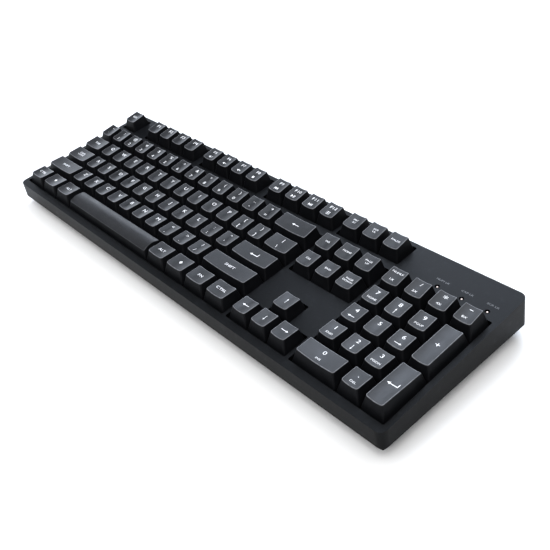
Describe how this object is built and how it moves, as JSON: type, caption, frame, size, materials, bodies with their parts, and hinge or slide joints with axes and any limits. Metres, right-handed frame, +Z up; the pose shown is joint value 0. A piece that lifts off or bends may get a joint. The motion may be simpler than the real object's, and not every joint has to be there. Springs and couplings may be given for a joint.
{
  "type": "mechanical computer keyboard",
  "caption": "Full-size mechanical keyboard: black wedge case with separate key wells, sculpted keycaps on switches over a steel plate, two fold-out rear feet.",
  "frame": {"origin": "on the table under the middle of the case, level with the undersides of the rubber feet", "axes": "+X to the typist's right along the case, +Y to the rear, +Z up"},
  "size_m": [0.438, 0.1338, 0.0383],
  "materials": {
    "keycap_plastic": "satin black keycaps",
    "case_plastic": "satin black moulding with fine texture",
    "base_plastic": "black moulding with fine texture",
    "plate_paint": "dark red paint on steel",
    "board": "green solder mask",
    "switch_plastic": "black moulding",
    "spring_steel": "bright wire",
    "chip": "black moulded package",
    "socket_metal": "plated shell",
    "light_lens": "milky lens",
    "screw_steel": "zinc plated",
    "rubber": "black rubber"
  },
  "bodies": {
    "case": {"top_case": "case_plastic", "bottom_case": "base_plastic", "switch_plate": "plate_paint", "circuit_board": "board", "switch_bases": "switch_plastic", "switch_covers": "switch_plastic", "switch_springs": "spring_steel", "stabilizer_housings": "switch_plastic", "stabilizer_wires": "spring_steel", "controller_chip": "chip", "usb_socket": "socket_metal", "indicator_lights": "light_lens", "case_screws": "screw_steel", "plate_screws": "screw_steel", "rubber_feet": "rubber"},
    "tilt_foot_left": {"tilt_foot_left": "base_plastic", "tilt_pad_left": "rubber"},
    "tilt_foot_right": {"tilt_foot_right": "base_plastic", "tilt_pad_right": "rubber"},
    "esc_key": {"esc_key": "keycap_plastic"},
    "f1_f4_keys": {"f1_f4_keys": "keycap_plastic"},
    "f5_f8_keys": {"f5_f8_keys": "keycap_plastic"},
    "f9_f12_keys": {"f9_f12_keys": "keycap_plastic"},
    "system_keys": {"system_keys": "keycap_plastic"},
    "number_keys_left": {"number_keys_left": "keycap_plastic"},
    "number_keys_right": {"number_keys_right": "keycap_plastic"},
    "backspace_key": {"backspace_key": "keycap_plastic"},
    "tab_key": {"tab_key": "keycap_plastic"},
    "letter_keys_q_t": {"letter_keys_q_t": "keycap_plastic"},
    "letter_keys_y_p": {"letter_keys_y_p": "keycap_plastic"},
    "backslash_key": {"backslash_key": "keycap_plastic"},
    "caps_lock_key": {"caps_lock_key": "keycap_plastic"},
    "letter_keys_a_g": {"letter_keys_a_g": "keycap_plastic"},
    "letter_keys_h_l": {"letter_keys_h_l": "keycap_plastic"},
    "enter_key": {"enter_key": "keycap_plastic"},
    "left_shift_key": {"left_shift_key": "keycap_plastic"},
    "letter_keys_z_b": {"letter_keys_z_b": "keycap_plastic"},
    "letter_keys_n_m": {"letter_keys_n_m": "keycap_plastic"},
    "right_shift_key": {"right_shift_key": "keycap_plastic"},
    "left_ctrl_key": {"left_ctrl_key": "keycap_plastic"},
    "left_system_key": {"left_system_key": "keycap_plastic"},
    "left_alt_key": {"left_alt_key": "keycap_plastic"},
    "space_bar": {"space_bar": "keycap_plastic"},
    "right_alt_key": {"right_alt_key": "keycap_plastic"},
    "right_system_key": {"right_system_key": "keycap_plastic"},
    "fn_key": {"fn_key": "keycap_plastic"},
    "right_ctrl_key": {"right_ctrl_key": "keycap_plastic"},
    "navigation_keys": {"navigation_keys": "keycap_plastic"},
    "arrow_up_key": {"arrow_up_key": "keycap_plastic"},
    "arrow_left_key": {"arrow_left_key": "keycap_plastic"},
    "arrow_down_key": {"arrow_down_key": "keycap_plastic"},
    "arrow_right_key": {"arrow_right_key": "keycap_plastic"},
    "pad_operator_keys": {"pad_operator_keys": "keycap_plastic"},
    "pad_7_9_keys": {"pad_7_9_keys": "keycap_plastic"},
    "pad_4_6_keys": {"pad_4_6_keys": "keycap_plastic"},
    "pad_1_3_keys": {"pad_1_3_keys": "keycap_plastic"},
    "pad_zero_key": {"pad_zero_key": "keycap_plastic"},
    "pad_point_key": {"pad_point_key": "keycap_plastic"},
    "pad_plus_key": {"pad_plus_key": "keycap_plastic"},
    "pad_enter_key": {"pad_enter_key": "keycap_plastic"}
  },
  "joints": [
    {"name": "tilt_foot_left_hinge", "type": "hinge", "parent": "case", "child": "tilt_foot_left", "pos_m": [-0.15, 0.05, 0.0046], "axis": [1, 0, 0], "range_deg": [0, 100]},
    {"name": "tilt_foot_right_hinge", "type": "hinge", "parent": "case", "child": "tilt_foot_right", "pos_m": [0.15, 0.05, 0.0046], "axis": [1, 0, 0], "range_deg": [0, 100]},
    {"name": "esc_key_press", "type": "slide", "parent": "case", "child": "esc_key", "axis": [0, 0.0586, -0.9983], "range_m": [0, 0.004], "stiffness_N_per_m": 75, "springref_m": -0.004, "deforming": ["switch_springs"]},
    {"name": "f1_f4_keys_press", "type": "slide", "parent": "case", "child": "f1_f4_keys", "axis": [0, 0.0586, -0.9983], "range_m": [0, 0.004], "stiffness_N_per_m": 75, "springref_m": -0.004, "deforming": ["switch_springs"]},
    {"name": "f5_f8_keys_press", "type": "slide", "parent": "case", "child": "f5_f8_keys", "axis": [0, 0.0586, -0.9983], "range_m": [0, 0.004], "stiffness_N_per_m": 75, "springref_m": -0.004, "deforming": ["switch_springs"]},
    {"name": "f9_f12_keys_press", "type": "slide", "parent": "case", "child": "f9_f12_keys", "axis": [0, 0.0586, -0.9983], "range_m": [0, 0.004], "stiffness_N_per_m": 75, "springref_m": -0.004, "deforming": ["switch_springs"]},
    {"name": "system_keys_press", "type": "slide", "parent": "case", "child": "system_keys", "axis": [0, 0.0586, -0.9983], "range_m": [0, 0.004], "stiffness_N_per_m": 75, "springref_m": -0.004, "deforming": ["switch_springs"]},
    {"name": "number_keys_left_press", "type": "slide", "parent": "case", "child": "number_keys_left", "axis": [0, 0.0586, -0.9983], "range_m": [0, 0.004], "stiffness_N_per_m": 75, "springref_m": -0.004, "deforming": ["switch_springs"]},
    {"name": "number_keys_right_press", "type": "slide", "parent": "case", "child": "number_keys_right", "axis": [0, 0.0586, -0.9983], "range_m": [0, 0.004], "stiffness_N_per_m": 75, "springref_m": -0.004, "deforming": ["switch_springs"]},
    {"name": "backspace_key_press", "type": "slide", "parent": "case", "child": "backspace_key", "axis": [0, 0.0586, -0.9983], "range_m": [0, 0.004], "stiffness_N_per_m": 75, "springref_m": -0.004, "deforming": ["switch_springs"]},
    {"name": "tab_key_press", "type": "slide", "parent": "case", "child": "tab_key", "axis": [0, 0.0586, -0.9983], "range_m": [0, 0.004], "stiffness_N_per_m": 75, "springref_m": -0.004, "deforming": ["switch_springs"]},
    {"name": "letter_keys_q_t_press", "type": "slide", "parent": "case", "child": "letter_keys_q_t", "axis": [0, 0.0586, -0.9983], "range_m": [0, 0.004], "stiffness_N_per_m": 75, "springref_m": -0.004, "deforming": ["switch_springs"]},
    {"name": "letter_keys_y_p_press", "type": "slide", "parent": "case", "child": "letter_keys_y_p", "axis": [0, 0.0586, -0.9983], "range_m": [0, 0.004], "stiffness_N_per_m": 75, "springref_m": -0.004, "deforming": ["switch_springs"]},
    {"name": "backslash_key_press", "type": "slide", "parent": "case", "child": "backslash_key", "axis": [0, 0.0586, -0.9983], "range_m": [0, 0.004], "stiffness_N_per_m": 75, "springref_m": -0.004, "deforming": ["switch_springs"]},
    {"name": "caps_lock_key_press", "type": "slide", "parent": "case", "child": "caps_lock_key", "axis": [0, 0.0586, -0.9983], "range_m": [0, 0.004], "stiffness_N_per_m": 75, "springref_m": -0.004, "deforming": ["switch_springs"]},
    {"name": "letter_keys_a_g_press", "type": "slide", "parent": "case", "child": "letter_keys_a_g", "axis": [0, 0.0586, -0.9983], "range_m": [0, 0.004], "stiffness_N_per_m": 75, "springref_m": -0.004, "deforming": ["switch_springs"]},
    {"name": "letter_keys_h_l_press", "type": "slide", "parent": "case", "child": "letter_keys_h_l", "axis": [0, 0.0586, -0.9983], "range_m": [0, 0.004], "stiffness_N_per_m": 75, "springref_m": -0.004, "deforming": ["switch_springs"]},
    {"name": "enter_key_press", "type": "slide", "parent": "case", "child": "enter_key", "axis": [0, 0.0586, -0.9983], "range_m": [0, 0.004], "stiffness_N_per_m": 75, "springref_m": -0.004, "deforming": ["switch_springs"]},
    {"name": "left_shift_key_press", "type": "slide", "parent": "case", "child": "left_shift_key", "axis": [0, 0.0586, -0.9983], "range_m": [0, 0.004], "stiffness_N_per_m": 75, "springref_m": -0.004, "deforming": ["switch_springs"]},
    {"name": "letter_keys_z_b_press", "type": "slide", "parent": "case", "child": "letter_keys_z_b", "axis": [0, 0.0586, -0.9983], "range_m": [0, 0.004], "stiffness_N_per_m": 75, "springref_m": -0.004, "deforming": ["switch_springs"]},
    {"name": "letter_keys_n_m_press", "type": "slide", "parent": "case", "child": "letter_keys_n_m", "axis": [0, 0.0586, -0.9983], "range_m": [0, 0.004], "stiffness_N_per_m": 75, "springref_m": -0.004, "deforming": ["switch_springs"]},
    {"name": "right_shift_key_press", "type": "slide", "parent": "case", "child": "right_shift_key", "axis": [0, 0.0586, -0.9983], "range_m": [0, 0.004], "stiffness_N_per_m": 75, "springref_m": -0.004, "deforming": ["switch_springs"]},
    {"name": "left_ctrl_key_press", "type": "slide", "parent": "case", "child": "left_ctrl_key", "axis": [0, 0.0586, -0.9983], "range_m": [0, 0.004], "stiffness_N_per_m": 75, "springref_m": -0.004, "deforming": ["switch_springs"]},
    {"name": "left_system_key_press", "type": "slide", "parent": "case", "child": "left_system_key", "axis": [0, 0.0586, -0.9983], "range_m": [0, 0.004], "stiffness_N_per_m": 75, "springref_m": -0.004, "deforming": ["switch_springs"]},
    {"name": "left_alt_key_press", "type": "slide", "parent": "case", "child": "left_alt_key", "axis": [0, 0.0586, -0.9983], "range_m": [0, 0.004], "stiffness_N_per_m": 75, "springref_m": -0.004, "deforming": ["switch_springs"]},
    {"name": "space_bar_press", "type": "slide", "parent": "case", "child": "space_bar", "axis": [0, 0.0586, -0.9983], "range_m": [0, 0.004], "stiffness_N_per_m": 75, "springref_m": -0.004, "deforming": ["switch_springs"]},
    {"name": "right_alt_key_press", "type": "slide", "parent": "case", "child": "right_alt_key", "axis": [0, 0.0586, -0.9983], "range_m": [0, 0.004], "stiffness_N_per_m": 75, "springref_m": -0.004, "deforming": ["switch_springs"]},
    {"name": "right_system_key_press", "type": "slide", "parent": "case", "child": "right_system_key", "axis": [0, 0.0586, -0.9983], "range_m": [0, 0.004], "stiffness_N_per_m": 75, "springref_m": -0.004, "deforming": ["switch_springs"]},
    {"name": "fn_key_press", "type": "slide", "parent": "case", "child": "fn_key", "axis": [0, 0.0586, -0.9983], "range_m": [0, 0.004], "stiffness_N_per_m": 75, "springref_m": -0.004, "deforming": ["switch_springs"]},
    {"name": "right_ctrl_key_press", "type": "slide", "parent": "case", "child": "right_ctrl_key", "axis": [0, 0.0586, -0.9983], "range_m": [0, 0.004], "stiffness_N_per_m": 75, "springref_m": -0.004, "deforming": ["switch_springs"]},
    {"name": "navigation_keys_press", "type": "slide", "parent": "case", "child": "navigation_keys", "axis": [0, 0.0586, -0.9983], "range_m": [0, 0.004], "stiffness_N_per_m": 75, "springref_m": -0.004, "deforming": ["switch_springs"]},
    {"name": "arrow_up_key_press", "type": "slide", "parent": "case", "child": "arrow_up_key", "axis": [0, 0.0586, -0.9983], "range_m": [0, 0.004], "stiffness_N_per_m": 75, "springref_m": -0.004, "deforming": ["switch_springs"]},
    {"name": "arrow_left_key_press", "type": "slide", "parent": "case", "child": "arrow_left_key", "axis": [0, 0.0586, -0.9983], "range_m": [0, 0.004], "stiffness_N_per_m": 75, "springref_m": -0.004, "deforming": ["switch_springs"]},
    {"name": "arrow_down_key_press", "type": "slide", "parent": "case", "child": "arrow_down_key", "axis": [0, 0.0586, -0.9983], "range_m": [0, 0.004], "stiffness_N_per_m": 75, "springref_m": -0.004, "deforming": ["switch_springs"]},
    {"name": "arrow_right_key_press", "type": "slide", "parent": "case", "child": "arrow_right_key", "axis": [0, 0.0586, -0.9983], "range_m": [0, 0.004], "stiffness_N_per_m": 75, "springref_m": -0.004, "deforming": ["switch_springs"]},
    {"name": "pad_operator_keys_press", "type": "slide", "parent": "case", "child": "pad_operator_keys", "axis": [0, 0.0586, -0.9983], "range_m": [0, 0.004], "stiffness_N_per_m": 75, "springref_m": -0.004, "deforming": ["switch_springs"]},
    {"name": "pad_7_9_keys_press", "type": "slide", "parent": "case", "child": "pad_7_9_keys", "axis": [0, 0.0586, -0.9983], "range_m": [0, 0.004], "stiffness_N_per_m": 75, "springref_m": -0.004, "deforming": ["switch_springs"]},
    {"name": "pad_4_6_keys_press", "type": "slide", "parent": "case", "child": "pad_4_6_keys", "axis": [0, 0.0586, -0.9983], "range_m": [0, 0.004], "stiffness_N_per_m": 75, "springref_m": -0.004, "deforming": ["switch_springs"]},
    {"name": "pad_1_3_keys_press", "type": "slide", "parent": "case", "child": "pad_1_3_keys", "axis": [0, 0.0586, -0.9983], "range_m": [0, 0.004], "stiffness_N_per_m": 75, "springref_m": -0.004, "deforming": ["switch_springs"]},
    {"name": "pad_zero_key_press", "type": "slide", "parent": "case", "child": "pad_zero_key", "axis": [0, 0.0586, -0.9983], "range_m": [0, 0.004], "stiffness_N_per_m": 75, "springref_m": -0.004, "deforming": ["switch_springs"]},
    {"name": "pad_point_key_press", "type": "slide", "parent": "case", "child": "pad_point_key", "axis": [0, 0.0586, -0.9983], "range_m": [0, 0.004], "stiffness_N_per_m": 75, "springref_m": -0.004, "deforming": ["switch_springs"]},
    {"name": "pad_plus_key_press", "type": "slide", "parent": "case", "child": "pad_plus_key", "axis": [0, 0.0586, -0.9983], "range_m": [0, 0.004], "stiffness_N_per_m": 75, "springref_m": -0.004, "deforming": ["switch_springs"]},
    {"name": "pad_enter_key_press", "type": "slide", "parent": "case", "child": "pad_enter_key", "axis": [0, 0.0586, -0.9983], "range_m": [0, 0.004], "stiffness_N_per_m": 75, "springref_m": -0.004, "deforming": ["switch_springs"]}
  ]
}
